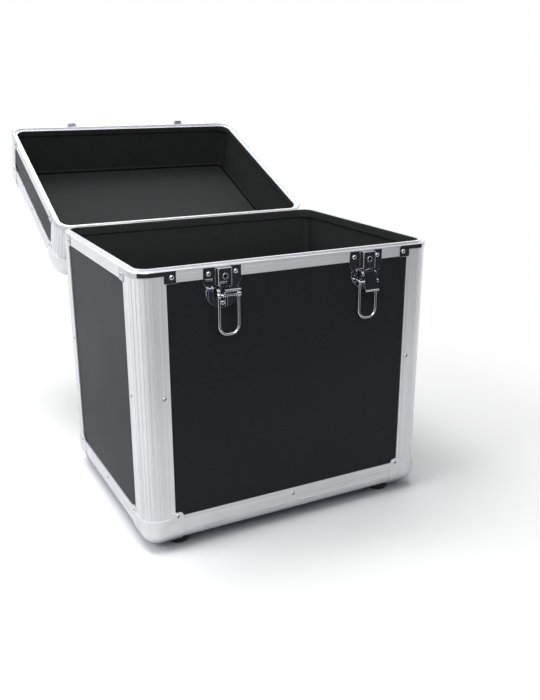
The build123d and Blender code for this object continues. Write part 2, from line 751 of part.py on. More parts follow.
def make_rivets():
    body = wall_rivets((base + parting) / 2 + edge_radius, corner_rivet_inset)
    body += middle_rivets(base + edge_rivet_height)
    body += wall_rivets(base + cap_rivet_height, cap_rivet_inset, cap_thickness)
    body += wall_rivets(parting - clip_tab_height / 2, clip_rivet_inset, clip_thickness)
    plate_rivets = [(side * wing_rivet_offset, wing_rivet_drop) for side in (-1, 1)] + [(0, bowl_rivet_drop)]
    for x, angle in latches.values():
        for offset, drop in plate_rivets:
            body.append(rivet(x + offset, -half_depth - plate_thickness, parting - drop, (0, -1, 0)))
    lid = middle_rivets(lid_top - edge_rivet_height)
    lid += wall_rivets(lid_top - cap_rivet_height, cap_rivet_inset, cap_thickness)
    lid += wall_rivets(lid_bottom + clip_tab_height / 2, clip_rivet_inset, clip_thickness)
    for x, angle in latches.values():
        for offset in (-strike_rivet_offset, strike_rivet_offset):
            height = lid_bottom + strike_rivet_lift
            lid.append(rivet(x + offset, -half_depth - strike_thickness, height, (0, -1, 0)))
    for x in (-hinge_offset, hinge_offset):
        for offset in (-leaf_rivet_offset, leaf_rivet_offset):
            face = half_depth + leaf_thickness
            body.append(rivet(x + offset, face, hinge_z - leaf_rivet_distance, (0, 1, 0)))
            lid.append(rivet(x + offset, face, hinge_z + leaf_rivet_distance, (0, 1, 0)))
    plate_middle = bracket_low + bracket_width / 2
    plate_top = lid_top - skin + bracket_plate_thickness
    for x in (-1, 1):
        for y in (-bracket_rivet_y, bracket_rivet_y):
            for offset in (-bracket_rivet_x, bracket_rivet_x):
                lid.append(rivet(x * plate_middle + offset, y, plate_top, (0, 0, 1)))
    add("body_rivets", *body)
    add("lid_rivets", *[opened(head) for head in lid])


def main():
    make_body()
    make_feet()
    make_lid()
    for side in latches:
        make_latch(side)
        add("strike_" + side, opened(Pos(latches[side][0], -half_depth, lid_bottom) * strike()))
    make_hinge("left", -hinge_offset)
    make_hinge("right", hinge_offset)
    make_handle()
    make_rivets()
    os.makedirs("parts", exist_ok=True)
    for name, solids in pieces.items():
        flat = [Pos(0, -open_middle, 0) * solid for shape in solids for solid in shape.solids()]
        export_step(flat[0] if len(flat) == 1 else Compound(children=flat), "parts/" + name + ".step")


main()
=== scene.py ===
import json
import math

import bmesh
import bpy
import numpy as np
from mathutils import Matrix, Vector


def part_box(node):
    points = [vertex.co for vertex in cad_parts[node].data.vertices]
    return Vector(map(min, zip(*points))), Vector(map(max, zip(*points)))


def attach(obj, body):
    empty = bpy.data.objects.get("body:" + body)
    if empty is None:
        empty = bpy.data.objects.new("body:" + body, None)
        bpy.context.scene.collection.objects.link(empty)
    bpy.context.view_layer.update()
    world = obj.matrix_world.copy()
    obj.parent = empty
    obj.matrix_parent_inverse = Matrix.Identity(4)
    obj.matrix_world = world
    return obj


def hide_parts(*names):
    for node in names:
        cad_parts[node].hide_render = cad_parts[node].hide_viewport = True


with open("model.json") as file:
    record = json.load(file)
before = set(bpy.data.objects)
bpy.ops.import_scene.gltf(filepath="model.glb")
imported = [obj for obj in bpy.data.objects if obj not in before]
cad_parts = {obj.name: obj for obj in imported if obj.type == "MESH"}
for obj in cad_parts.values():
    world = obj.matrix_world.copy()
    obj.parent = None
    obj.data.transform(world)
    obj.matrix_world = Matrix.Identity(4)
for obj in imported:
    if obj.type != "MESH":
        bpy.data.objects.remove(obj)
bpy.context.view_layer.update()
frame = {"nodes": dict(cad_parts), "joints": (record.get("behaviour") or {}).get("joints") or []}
nodes = frame["nodes"]
joints = {joint["name"]: joint for joint in frame["joints"]}
print("frame loaded:", len(nodes), "nodes")


mm = 0.001
case = {"halfWidth": 187.5 * mm, "halfDepth": 146.5 * mm, "floor": 7 * mm, "lidTop": 413.6 * mm,
        "middle": -140.5 * mm}  # the body's middle in y; the frame is centred on the open case
corners = ((-1, -1), (1, -1), (-1, 1), (1, 1))  # the side of the case in x and in y that each corner is on
lidTilt = math.radians(-157)  # how far the open lid is turned about +X from shut
hinge = np.array(joints["lid_hinge"]["pos_m"], float)
sharpAngle = math.radians(40)  # made surfaces shade smoothly below this angle


def hexLinear(code, share=1.0):
    # sRGB hex to linear RGBA, times share: v / 12.92 up to 0.04045, otherwise ((v + 0.055) / 1.055) ^ 2.4
    srgb = np.array([int(code[i:i + 2], 16) for i in (1, 3, 5)]) / 255
    linear = np.where(srgb <= 0.04045, srgb / 12.92, ((srgb + 0.055) / 1.055) ** 2.4)
    return (*(linear * share).tolist(), 1.0)


def linkInto(tree, node, sources):
    # each source feeds the node's input of that name or number
    for key, source in sources.items():
        tree.links.new(source, node.inputs[key])


def addNode(tree, kind, values=None, links=None, stops=(), **settings):
    # one node with its settings, socket values and incoming links; a colour ramp has (position, colour) stops
    node = tree.nodes.new(kind)
    for key, value in settings.items():
        setattr(node, key, value)
    for key, value in (values or {}).items():
        node.inputs[key].default_value = value
    linkInto(tree, node, links or {})
    for number, (position, colour) in enumerate(stops):
        node.color_ramp.elements[number].position = position
        node.color_ramp.elements[number].color = colour
    return node


def emptyTree(owner):
    # the node tree of a material or of the world, with nothing in it
    owner.use_nodes = True
    owner.node_tree.nodes.clear()
    return owner.node_tree


def newMaterial(name, values):
    # a material with one Principled shader, whose plain numbers are set on its own sockets
    material = bpy.data.materials.new(name)
    tree = emptyTree(material)
    shader = addNode(tree, "ShaderNodeBsdfPrincipled", values)
    addNode(tree, "ShaderNodeOutputMaterial", links={"Surface": shader.outputs["BSDF"]})
    return material, tree, shader


def drawnAluminium(name, along, tilt=0.0):
    # extruded 6063 aluminium, satin anodised: faint die lines run along the bar, soft reflections
    look = {"color": "#EDEFF2", "darkShare": 0.82, "darkAt": 0.36, "lightAt": 0.62, "smooth": 0.45,
            "rough": 0.57, "lineSpacing": 1.1 * mm, "lineLength": 400 * mm, "lineDepth": 0.04 * mm,
            "lineStrength": 0.12, "cloudSize": 55.56 * mm, "cloudShare": 0.15}
    material, tree, shader = newMaterial(name, {"Metallic": 1.0})
    scale = [1 / look["lineSpacing"]] * 3
    scale[along] = 1 / look["lineLength"]
    coords = addNode(tree, "ShaderNodeTexCoord").outputs["Object"]
    turned = addNode(tree, "ShaderNodeMapping", {"Rotation": (-tilt, 0, 0)},
                     {"Vector": coords}).outputs["Vector"]
    stretched = addNode(tree, "ShaderNodeMapping", {"Scale": scale}, {"Vector": turned}).outputs["Vector"]
    lines = addNode(tree, "ShaderNodeTexNoise", {"Scale": 1.0, "Detail": 3.0, "Roughness": 0.6},
                    {"Vector": stretched}).outputs["Fac"]
    cloud = addNode(tree, "ShaderNodeTexNoise", {"Scale": 1 / look["cloudSize"], "Detail": 2.0},
                    {"Vector": turned}).outputs["Fac"]
    tint = addNode(tree, "ShaderNodeMix", {"Factor": look["cloudShare"]}, {"A": lines, "B": cloud},
                   data_type="FLOAT").outputs["Result"]
    colour = addNode(tree, "ShaderNodeValToRGB", links={"Fac": tint}, stops=[
        (look["darkAt"], hexLinear(look["color"], look["darkShare"])),
        (look["lightAt"], hexLinear(look["color"]))]).outputs["Color"]
    rough = addNode(tree, "ShaderNodeMapRange", {"To Min": look["smooth"], "To Max": look["rough"]},
                    {"Value": lines}).outputs["Result"]
    bump = addNode(tree, "ShaderNodeBump", {"Strength": look["lineStrength"], "Distance": look["lineDepth"]},
                   {"Height": lines}).outputs["Normal"]
    linkInto(tree, shader, {"Base Color": colour, "Roughness": rough, "Normal": bump})
    return material


def embossedLaminate(name, tilt=0.0):
    # black ABS laminate pressed with a fine grid; drawn at 1.3 mm, coarser than real, so that it shows.
    # the height is gridShare * (sin x + sin y + sin z) plus the specks
    look = {"dark": "#191B1F", "light": "#24272C", "darkAt": 0.35, "lightAt": 0.7, "smooth": 0.37,
            "rough": 0.50, "specular": 0.15, "pitch": 1.3 * mm, "gridShare": 0.35, "depth": 0.10 * mm,
            "strength": 0.35, "speckSize": 1.111 * mm, "cloudSize": 111.1 * mm}
    material, tree, shader = newMaterial(name, {"IOR": 1.5, "Specular IOR Level": look["specular"]})
    coords = addNode(tree, "ShaderNodeTexCoord").outputs["Object"]
    turned = addNode(tree, "ShaderNodeMapping", {"Rotation": (-tilt, 0, 0)},
                     {"Vector": coords}).outputs["Vector"]
    parts = addNode(tree, "ShaderNodeSeparateXYZ", links={"Vector": turned})
    waves = []
    for axis in "XYZ":
        phase = addNode(tree, "ShaderNodeMath", {1: 2 * math.pi / look["pitch"]}, {0: parts.outputs[axis]},
                        operation="MULTIPLY").outputs[0]
        waves.append(addNode(tree, "ShaderNodeMath", links={0: phase}, operation="SINE").outputs[0])
    two = addNode(tree, "ShaderNodeMath", links={0: waves[0], 1: waves[1]}, operation="ADD")
    grid = addNode(tree, "ShaderNodeMath", links={0: two.outputs[0], 1: waves[2]}, operation="ADD")
    speck = addNode(tree, "ShaderNodeTexNoise", {"Scale": 1 / look["speckSize"], "Detail": 4.0},
                    {"Vector": turned}).outputs["Fac"]
    cloud = addNode(tree, "ShaderNodeTexNoise", {"Scale": 1 / look["cloudSize"], "Detail": 3.0},
                    {"Vector": turned}).outputs["Fac"]
    height = addNode(tree, "ShaderNodeMath", {1: look["gridShare"]}, {0: grid.outputs[0], 2: speck},
                     operation="MULTIPLY_ADD")
    colour = addNode(tree, "ShaderNodeValToRGB", links={"Fac": speck}, stops=[
        (look["darkAt"], hexLinear(look["dark"])),
        (look["lightAt"], hexLinear(look["light"]))]).outputs["Color"]
    rough = addNode(tree, "ShaderNodeMapRange", {"To Min": look["smooth"], "To Max": look["rough"]},
                    {"Value": cloud}).outputs["Result"]
    bump = addNode(tree, "ShaderNodeBump", {"Strength": look["strength"], "Distance": look["depth"]},
                   {"Height": height.outputs[0]}).outputs["Normal"]
    linkInto(tree, shader, {"Base Color": colour, "Roughness": rough, "Normal": bump})
    return material


def foamLining(name):
    # thin black EVA foam sheet, skived smooth: matt, with a faint leathery mottle, and a painted shade along
    # the crease of its fold
    look = {"dark": "#18191A", "light": "#242526", "darkAt": 0.3, "lightAt": 0.75, "smooth": 0.64,
            "rough": 0.82, "seam": "#000000", "openGloss": 0.5, "paintedCreaseGloss": 0.05, "mottleSize": 16.67 * mm,
            "grainSize": 1.429 * mm, "grainShare": 0.3, "depth": 0.3 * mm, "strength": 0.3}
    material, tree, shader = newMaterial(name, {"IOR": 1.45})
    coords = addNode(tree, "ShaderNodeTexCoord").outputs["Object"]
    mottle = addNode(tree, "ShaderNodeTexNoise",
                     {"Scale": 1 / look["mottleSize"], "Detail": 6.0, "Roughness": 0.65},
                     {"Vector": coords}).outputs["Fac"]
    grain = addNode(tree, "ShaderNodeTexVoronoi", {"Scale": 1 / look["grainSize"]},
                    {"Vector": coords}).outputs["Distance"]
    plain = addNode(tree, "ShaderNodeValToRGB", links={"Fac": mottle}, stops=[
        (look["darkAt"], hexLinear(look["dark"])),
        (look["lightAt"], hexLinear(look["light"]))]).outputs["Color"]
    # painted crease shade: the surface's own attribute is 1 along the fold's crease, and there the colour
    # goes black and the specular level drops
    seam = addNode(tree, "ShaderNodeAttribute", attribute_name="paintedCreaseShade").outputs["Fac"]
    colour = addNode(tree, "ShaderNodeMix", {"B": hexLinear(look["seam"])}, {"Factor": seam, "A": plain},
                     data_type="RGBA").outputs["Result"]
    rough = addNode(tree, "ShaderNodeMapRange", {"To Min": look["smooth"], "To Max": look["rough"]},
                    {"Value": mottle}).outputs["Result"]
    height = addNode(tree, "ShaderNodeMath", {1: look["grainShare"]}, {0: grain, 2: mottle},
                     operation="MULTIPLY_ADD")
    bump = addNode(tree, "ShaderNodeBump", {"Strength": look["strength"], "Distance": look["depth"]},
                   {"Height": height.outputs[0]}).outputs["Normal"]
    # painted crease shade: the specular level falls along the crease, so the line stays dark
    gloss = addNode(tree, "ShaderNodeMapRange", {"To Min": look["openGloss"], "To Max": look["paintedCreaseGloss"]},
                    {"Value": seam}).outputs["Result"]
    linkInto(tree, shader, {"Base Color": colour, "Specular IOR Level": gloss, "Roughness": rough,
                            "Normal": bump})
    return material


def platedSteel(name, color, roughness, spread, strength=0.05):
    # pressed steel with bright nickel or zinc over it: mirror-like, faint swirls from tumbling
    look = {"darkShare": 0.88, "darkAt": 0.3, "lightAt": 0.7, "swirlSize": 2.381 * mm,
            "cloudSize": 14.29 * mm, "depth": 0.05 * mm}
    material, tree, shader = newMaterial(name, {"Metallic": 1.0})
    coords = addNode(tree, "ShaderNodeTexCoord").outputs["Object"]
    swirl = addNode(tree, "ShaderNodeTexNoise",
                    {"Scale": 1 / look["swirlSize"], "Detail": 5.0, "Distortion": 0.6},
                    {"Vector": coords}).outputs["Fac"]
    cloud = addNode(tree, "ShaderNodeTexNoise", {"Scale": 1 / look["cloudSize"], "Detail": 2.0},
                    {"Vector": coords}).outputs["Fac"]
    colour = addNode(tree, "ShaderNodeValToRGB", links={"Fac": cloud}, stops=[
        (look["darkAt"], hexLinear(color, look["darkShare"])),
        (look["lightAt"], hexLinear(color))]).outputs["Color"]
    rough = addNode(tree, "ShaderNodeMapRange", {"To Min": roughness, "To Max": roughness + spread},
                    {"Value": swirl}).outputs["Result"]
    bump = addNode(tree, "ShaderNodeBump", {"Strength": strength, "Distance": look["depth"]},
                   {"Height": swirl}).outputs["Normal"]
    linkInto(tree, shader, {"Base Color": colour, "Roughness": rough, "Normal": bump})
    return material


def mouldedBlack(name, dark, light, roughness, grainSize):
    # moulded rubber or polypropylene: spark-eroded grain, dull sheen, a little dust
    look = {"darkAt": 0.35, "lightAt": 0.8, "smoother": 0.06, "rougher": 0.08, "dustSize": 25 * mm,
            "depth": 0.08 * mm, "strength": 0.3}
    material, tree, shader = newMaterial(name, {"IOR": 1.5})
    coords = addNode(tree, "ShaderNodeTexCoord").outputs["Object"]
    grain = addNode(tree, "ShaderNodeTexNoise", {"Scale": 1 / grainSize, "Detail": 5.0},
                    {"Vector": coords}).outputs["Fac"]
    dust = addNode(tree, "ShaderNodeTexNoise", {"Scale": 1 / look["dustSize"], "Detail": 3.0},
                   {"Vector": coords}).outputs["Fac"]
    colour = addNode(tree, "ShaderNodeValToRGB", links={"Fac": dust}, stops=[
        (look["darkAt"], hexLinear(dark)), (look["lightAt"], hexLinear(light))]).outputs["Color"]
    rough = addNode(tree, "ShaderNodeMapRange", {"To Min": roughness - look["smoother"],
                                                 "To Max": roughness + look["rougher"]},
                    {"Value": dust}).outputs["Result"]
    bump = addNode(tree, "ShaderNodeBump", {"Strength": look["strength"], "Distance": look["depth"]},
                   {"Height": grain}).outputs["Normal"]
    linkInto(tree, shader, {"Base Color": colour, "Roughness": rough, "Normal": bump})
    return material


alongX = drawnAluminium("satinAluminiumAlongX", 0)
alongY = drawnAluminium("satinAluminiumAlongY", 1)
alongZ = drawnAluminium("satinAluminiumAlongZ", 2)
lidAlongY = drawnAluminium("satinAluminiumLidDepth", 1, lidTilt)
lidAlongZ = drawnAluminium("satinAluminiumLidHeight", 2, lidTilt)
laminate = embossedLaminate("embossedLaminateBlack")
lidLaminate = embossedLaminate("embossedLaminateBlackLid", lidTilt)
lining = foamLining("foamLiningBlack")
nickel = platedSteel("brightNickelPlate", "#CDD0D6", 0.03, 0.04, 0.02)
lockSteel = platedSteel("blackenedLockSteel", "#4A4744", 0.26, 0.12)
satinZinc = platedSteel("satinZincPlate", "#F1F3F6", 0.30, 0.10)
rivetZinc = platedSteel("brightZincRivet", "#CFD0D2", 0.16, 0.10)
# the mandrels' stubs: real steel, made near black as painted shade of the rivet holes
mandrelPaintedShade = platedSteel("mandrelSteelPaintedShade", "#171615", 0.45, 0.12)
dullZinc = platedSteel("dullZincPlate", "#B9BABC", 0.24, 0.12)
rubber = mouldedBlack("mouldedRubberBlack", "#111113", "#1D1D20", 0.58, 1.111 * mm)
gripPlastic = mouldedBlack("mouldedPolypropyleneBlack", "#131314", "#1F1F21", 0.48, 0.8333 * mm)
print("materials made")


def finishFor(name):
    # the material of each CAD node that stays as it is
    if name.endswith("_panel"):
        return lidLaminate if name.startswith("lid_") else laminate
    if name.endswith("_lining"):
        return lining
    if name in ("body_rim", "lid_rim", "bottom_edge_front", "bottom_edge_rear", "lid_edge_front",
                "lid_edge_rear"):
        return alongX
    if name in ("bottom_edge_left", "bottom_edge_right"):
        return alongY
    if name in ("lid_edge_left", "lid_edge_right"):
        return lidAlongY
    if name == "lid_corners":
        return lidAlongZ
    if name.startswith("corner_"):
        return alongZ
    if "ball_corners" in name:
        return satinZinc
    if name.endswith("_lock"):
        return lockSteel
    if name.startswith(("latch_", "strike_")) or "rim_clips" in name:
        return nickel
    if name == "rubber_feet":
        return rubber
    if name == "handle_grip":
        return gripPlastic
    return dullZinc


def dress(piece, material):
    # the piece's only material
    piece.data.materials.clear()
    piece.data.materials.append(material)


for nodeName, node in nodes.items():
    dress(node, finishFor(nodeName))


def placed(name, data):
    # a new object that shows the data, at the origin of the scene
    piece = bpy.data.objects.new(name, data)
    bpy.context.scene.collection.objects.link(piece)
    return piece


def gridMesh(name, points, material, closeAround=True, caps=False, paintedCreaseShade=None):
    # points[i, j] is ring i, place j round the ring; quads join neighbours; the last argument holds a painted
    # crease shade, one number per point
    rings, around = points.shape[:2]
    index = np.arange(rings * around).reshape(rings, around)
    if closeAround:
        index = np.concatenate([index, index[:, :1]], axis=1)
    quads = np.stack([index[:-1, :-1], index[:-1, 1:], index[1:, 1:], index[1:, :-1]], axis=-1).reshape(-1, 4)
    faces = quads.tolist()
    if caps:
        faces.append(index[0, :around][::-1].tolist())
        faces.append(index[-1, :around].tolist())
    mesh = bpy.data.meshes.new(name)
    mesh.from_pydata(points.reshape(-1, 3).tolist(), [], faces)
    if paintedCreaseShade is not None:
        mesh.attributes.new("paintedCreaseShade", "FLOAT", "POINT").data.foreach_set("value", paintedCreaseShade.ravel())
    mesh.validate()
    work = bmesh.new()
    work.from_mesh(mesh)
    bmesh.ops.remove_doubles(work, verts=work.verts, dist=1e-7)
    bmesh.ops.recalc_face_normals(work, faces=work.faces)
    work.to_mesh(mesh)
    work.free()
    mesh.shade_smooth()
    mesh.set_sharp_from_angle(angle=sharpAngle)
    piece = placed(name, mesh)
    dress(piece, material)
    return piece


def joined(name, pieces):
    # several pieces made into one mesh, each keeping its material
    target = bpy.data.meshes.new(name)
    work = bmesh.new()
    materials = []
    for piece in pieces:
        material = piece.data.materials[0]
        if material not in materials:
            materials.append(material)
        first = len(work.faces)
        work.from_mesh(piece.data)
        work.faces.ensure_lookup_table()
        for face in work.faces[first:]:
            face.material_index = materials.index(material)
        bpy.data.objects.remove(piece)
    work.to_mesh(target)
    work.free()
    for material in materials:
        target.materials.append(material)
    return placed(name, target)


def lathe(name, profile, center, axis, material, around):
    # profile rows are (radius, height); each turns about axis through center
    profile = np.asarray(profile, float)
    axis = np.asarray(axis, float) / np.linalg.norm(axis)
    side = np.cross(axis, [0.0, 0.0, 1.0] if abs(axis[2]) < 0.9 else [1.0, 0.0, 0.0])
    side /= np.linalg.norm(side)
    other = np.cross(axis, side)
    angle = np.linspace(0, 2 * np.pi, around, endpoint=False)
    ring = np.cos(angle)[:, None] * side + np.sin(angle)[:, None] * other
    points = np.asarray(center) + profile[:, 0, None, None] * ring + profile[:, 1, None, None] * axis
    return gridMesh(name, points, material)


def thicken(piece, thickness, offset):
    # a sheet gets its thickness: along its normals at offset 1, against them at -1
    sheet = piece.modifiers.new("sheet", "SOLIDIFY")
    sheet.thickness = thickness
    sheet.offset = offset


rivetShape = {"radius": 2.6 * mm, "rise": 1.0 * mm, "power": 2.4, "domeSteps": 9, "around": 20,
              "hole": 0.95 * mm, "holeDepth": 0.55 * mm, "shoulder": 1.25, "lip": 1.1,
              "lipDrop": 0.03 * mm, "rimDrop": 0.12 * mm, "coreWidth": 0.98, "coreTop": 0.6,
              "coreRise": 0.12 * mm, "corePeak": 0.14 * mm, "headReach": 8 * mm, "footShare": 0.8}


def rivetPlaces(nodeName):
    # foot and outward normal of each head: one head's points lie together, and its foot is its widest ring
    points = np.array([vertex.co for vertex in nodes[nodeName].data.vertices])
    left = np.ones(len(points), bool)
    places = []
    while left.any():
        first = points[left][0]
        near = left & (np.linalg.norm(points - first, axis=1) < rivetShape["headReach"])
        group = points[near]
        center = (group.min(0) + group.max(0)) / 2
        normal = np.linalg.svd(group - group.mean(0))[2][2]
        height = (group - center) @ normal
        spread = np.linalg.norm(group - center - height[:, None] * normal, axis=1)
        wide = spread.max() * rivetShape["footShare"]
        top = group[spread < wide].mean(0)
        foot = group[spread >= wide].mean(0)
        places.append((foot, (top - foot) / np.linalg.norm(top - foot)))
        left &= ~near
    return places


def rivetHead(center, normal, number):
    # dome: height = rise * (1 - (r/R)^power)^0.5, then a ring round the hole left by the mandrel
    shape = rivetShape
    hole = shape["hole"]
    share = np.linspace(0, 1, shape["domeSteps"])
    radius = shape["radius"] * (1 - share) + hole * shape["shoulder"] * share
    height = shape["rise"] * np.sqrt(np.clip(1 - (radius / shape["radius"]) ** shape["power"], 0, 1))
    lip = [(hole * shape["lip"], height[-1] - shape["lipDrop"]), (hole, height[-1] - shape["rimDrop"])]
    floor = height[-1] - shape["holeDepth"]
    dome = np.concatenate([np.stack([radius, height], 1), lip, [(hole, floor)]])
    # the mandrel's stub at the bottom of the hole, near black as painted shade
    core = [(hole * shape["coreWidth"], floor), (hole * shape["coreTop"], floor + shape["coreRise"]),
            (0, floor + shape["corePeak"])]
    return [lathe(f"head{number}", dome, center, normal, rivetZinc, shape["around"]),
            lathe(f"core{number}", core, center, normal, mandrelPaintedShade, shape["around"])]


for nodeName, body in (("body_rivets", "body"), ("lid_rivets", "lid")):
    heads = []
    for number, (center, normal) in enumerate(rivetPlaces(nodeName)):
        heads += rivetHead(center, normal, number)
    piece = joined("popRivets_" + body, heads)
    piece.data.shade_smooth()
    piece.data.set_sharp_from_angle(angle=sharpAngle)
    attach(piece, body)
    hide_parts(nodeName)
    print("rivets on", body, len(heads) // 2)


bailShape = {"wire": 1.5 * mm, "wireAround": 16, "halfWidth": 11.3 * mm, "bend": 9.5 * mm, "drop": 43.04 * mm,
             "legFrom": 0.6, "legSteps": 14, "bendSteps": 12, "eye": 2.8 * mm, "eyeHole": 1.46 * mm,
             "eyeWidth": 3.2 * mm, "eyeEdge": 0.5 * mm, "eyeAround": 32}


def wireTube(name, path, radius, material, around):
    # rings of a circle carried along the path; the side vector stays across the bail's flat
    tangent = np.gradient(path, axis=0)
    tangent /= np.linalg.norm(tangent, axis=1, keepdims=True)
    depth = np.array([0.0, 1.0, 0.0])
    side = np.cross(tangent, depth)
    side /= np.linalg.norm(side, axis=1, keepdims=True)
    angle = np.linspace(0, 2 * np.pi, around, endpoint=False)
    rings = path[:, None] + radius * (np.cos(angle)[None, :, None] * side[:, None]
                                      + np.sin(angle)[None, :, None] * depth)
    return gridMesh(name, rings, material, caps=True)


def bailPath(center):
    # down one leg from the eye's edge, round two quarter bends and up the other
    shape = bailShape
    bend = shape["bend"]
    legs = np.linspace(shape["eye"] * shape["legFrom"], shape["drop"] - bend, shape["legSteps"])
    turn = np.linspace(0, np.pi / 2, shape["bendSteps"])
    half = shape["halfWidth"] - bend
    leg = np.stack([np.full(len(legs), -shape["halfWidth"]), -legs], 1)
    arc = np.stack([-half - bend * np.cos(turn), bend - shape["drop"] - bend * np.sin(turn)], 1)
    left = np.concatenate([leg, arc[1:]])
    right = left[::-1] * [-1, 1]
    flat = np.concatenate([left, right])
    return np.asarray(center) + np.stack([flat[:, 0], np.zeros(len(flat)), flat[:, 1]], 1)


def bailEye(name, center, x):
    # a flattened ring round the pin, its rims cut at 45 degrees
    shape = bailShape
    half, hole, eye, edge = shape["eyeWidth"] / 2, shape["eyeHole"], shape["eye"], shape["eyeEdge"]
    profile = [(hole, -half), (eye - edge, -half), (eye, edge - half), (eye, half - edge), (eye - edge, half),
               (hole, half), (hole, -half)]
    return lathe(name, profile, np.asarray(center) + [x, 0, 0], (1, 0, 0), nickel, shape["eyeAround"])


for side in ("left", "right"):
    center = np.array(joints[side + "_bail_swing"]["pos_m"], float)
    parts = [wireTube("wire", bailPath(center), bailShape["wire"], nickel, bailShape["wireAround"])]
    parts += [bailEye("eye", center, sign * bailShape["halfWidth"]) for sign in (-1, 1)]
    bail = joined("wireBail_" + side, parts)
    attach(bail, side + "_bail")
    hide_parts(f"latch_{side}_bail")
print("bails made")


softEdge = {"angle": math.radians(30), "segments": 2, "merge": 0.002 * mm, "sliver": 0.001 * mm,
            "flat": math.radians(1.0), "flatWeight": 100}
softEdges = {  # the body that each pressed piece is on, and the width of its rounded edges in millimetres
    "latch_left_plate": ("body", 0.48), "latch_right_plate": ("body", 0.48),
    "latch_left_bracket": ("body", 0.2), "latch_right_bracket": ("body", 0.2),
    "latch_left_lever": ("left_lever", 0.25), "latch_right_lever": ("right_lever", 0.25),
    "latch_left_lock": ("body", 0.2), "latch_right_lock": ("body", 0.2),
    "strike_left": ("lid", 0.3), "strike_right": ("lid", 0.3),
    "body_rim_clips": ("body", 0.38), "lid_rim_clips": ("lid", 0.38),
    "body_ball_corners": ("body", 0.4), "lid_ball_corners": ("lid", 0.4),
    "hinge_left_body_leaf": ("body", 0.25), "hinge_right_body_leaf": ("body", 0.25),
    "hinge_left_lid_leaf": ("lid", 0.25), "hinge_right_lid_leaf": ("lid", 0.25),
    "handle_brackets": ("lid", 0.3),
}


def softCopy(name, nodeName, body, width):
    # a CAD node's own shape with its pressed edges rounded; merged and flattened first
    mesh = nodes[nodeName].data.copy()
    mesh.name = name
    work = bmesh.new()
    work.from_mesh(mesh)
    bmesh.ops.remove_doubles(work, verts=work.verts, dist=softEdge["merge"])
    bmesh.ops.dissolve_degenerate(work, edges=work.edges, dist=softEdge["sliver"])
    bmesh.ops.dissolve_limit(work, angle_limit=softEdge["flat"], verts=work.verts, edges=work.edges)
    work.to_mesh(mesh)
    work.free()
    mesh.shade_smooth()
    mesh.set_sharp_from_angle(angle=softEdge["angle"])
    piece = placed(name, mesh)
    bevel = piece.modifiers.new("edges", "BEVEL")
    bevel.width = width
    bevel.segments = softEdge["segments"]
    bevel.limit_method = "ANGLE"
    bevel.angle_limit = softEdge["angle"]
    # the flats stay dead flat, so that plating mirrors
    weighted = piece.modifiers.new("flatFaces", "WEIGHTED_NORMAL")
    weighted.weight = softEdge["flatWeight"]
    weighted.keep_sharp = True
    dress(piece, finishFor(nodeName))
    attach(piece, body)
    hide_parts(nodeName)


for nodeName, (body, width) in softEdges.items():
    softCopy("pressed_" + nodeName, nodeName, body, width * mm)
print("pressed pieces rounded")


def turnedX(vectors, turn):
    # vectors turned about +X: y, z become y cos - z sin, y sin + z cos
    spin = np.array([[1, 0, 0], [0, np.cos(turn), -np.sin(turn)], [0, np.sin(turn), np.cos(turn)]])
    return vectors @ spin.T


def aboutHinge(points, turn):
    # points turned about the lid's hinge
    return turnedX(points - hinge, turn) + hinge


trayShape = {"thickness": 0.8 * mm, "fold": 6.9 * mm, "wave": 0.2 * mm, "waveLength": 110 * mm,
             "wrinkle": 0.16 * mm, "wrinkleLength": 17 * mm, "wrinkleReach": 22 * mm, "seam": 0.7 * mm,
             "seamWidth": 0.8 * mm, "shadeWidth": 1.9 * mm, "sheet": 0.25 * mm,
             "cornerSteps": 8, "sideSteps": 33, "wallSteps": 26, "fineSteps": 12, "foldSteps": 41,
             "floorSteps": 30}


def trayOutline(a, b, radius):
    # round a rectangle with rounded corners; rows are x, y and the outward normal's x, y
    turn = np.linspace(0, np.pi / 2, trayShape["cornerSteps"])
    rows = []
    for quarter, (sx, sy) in enumerate(((1, 1), (-1, 1), (-1, -1), (1, -1))):
        angle = turn + quarter * np.pi / 2
        arc = np.stack([sx * (a - radius) + radius * np.cos(angle),
                        sy * (b - radius) + radius * np.sin(angle), np.cos(angle), np.sin(angle)], 1)
        rows.append(arc)
    rows.append(rows[0][:1])
    loop = np.concatenate(rows)
    steps = np.linspace(0, 1, trayShape["sideSteps"])[1:-1, None]
    filled = []
    for number in range(len(loop) - 1):
        filled.append(loop[number:number + 1])
        if np.linalg.norm(loop[number + 1, :2] - loop[number, :2]) > 5 * radius:  # a straight side
            filled.append(loop[number] * (1 - steps) + loop[number + 1] * steps)
    return np.concatenate(filled)


def traySinking(ring, around, away, fromSeam):
    # how far the sheet sinks: wave * (1 + sin * sin) / 2, short wrinkles that fade away from the fold, and a
    # seam as exp(-(distance / width)^2); the same form, wider, gives the painted crease shade. The slants and
    # phases in the sines only keep the waves from lining up.
    shape = trayShape
    x, y, z = np.moveaxis(ring, -1, 0)
    k = 2 * np.pi / shape["waveLength"]
    wave = shape["wave"] * (1 + np.sin(k * (x + 0.6 * y) + 0.7) * np.sin(k * (z * 1.3 + 0.4 * x) + 1.9)) / 2
    ripple = np.sin(2 * np.pi * around / shape["wrinkleLength"] + 2.2 * np.sin(around * k))[None, :]
    wrinkle = shape["wrinkle"] * (0.5 + 0.5 * ripple) * np.clip(1 - away / shape["wrinkleReach"], 0, 1)
    seam = shape["seam"] * np.exp(-(fromSeam / shape["seamWidth"]) ** 2)
    return wave + wrinkle + seam, np.broadcast_to(np.exp(-(fromSeam / shape["shadeWidth"]) ** 2), x.shape)


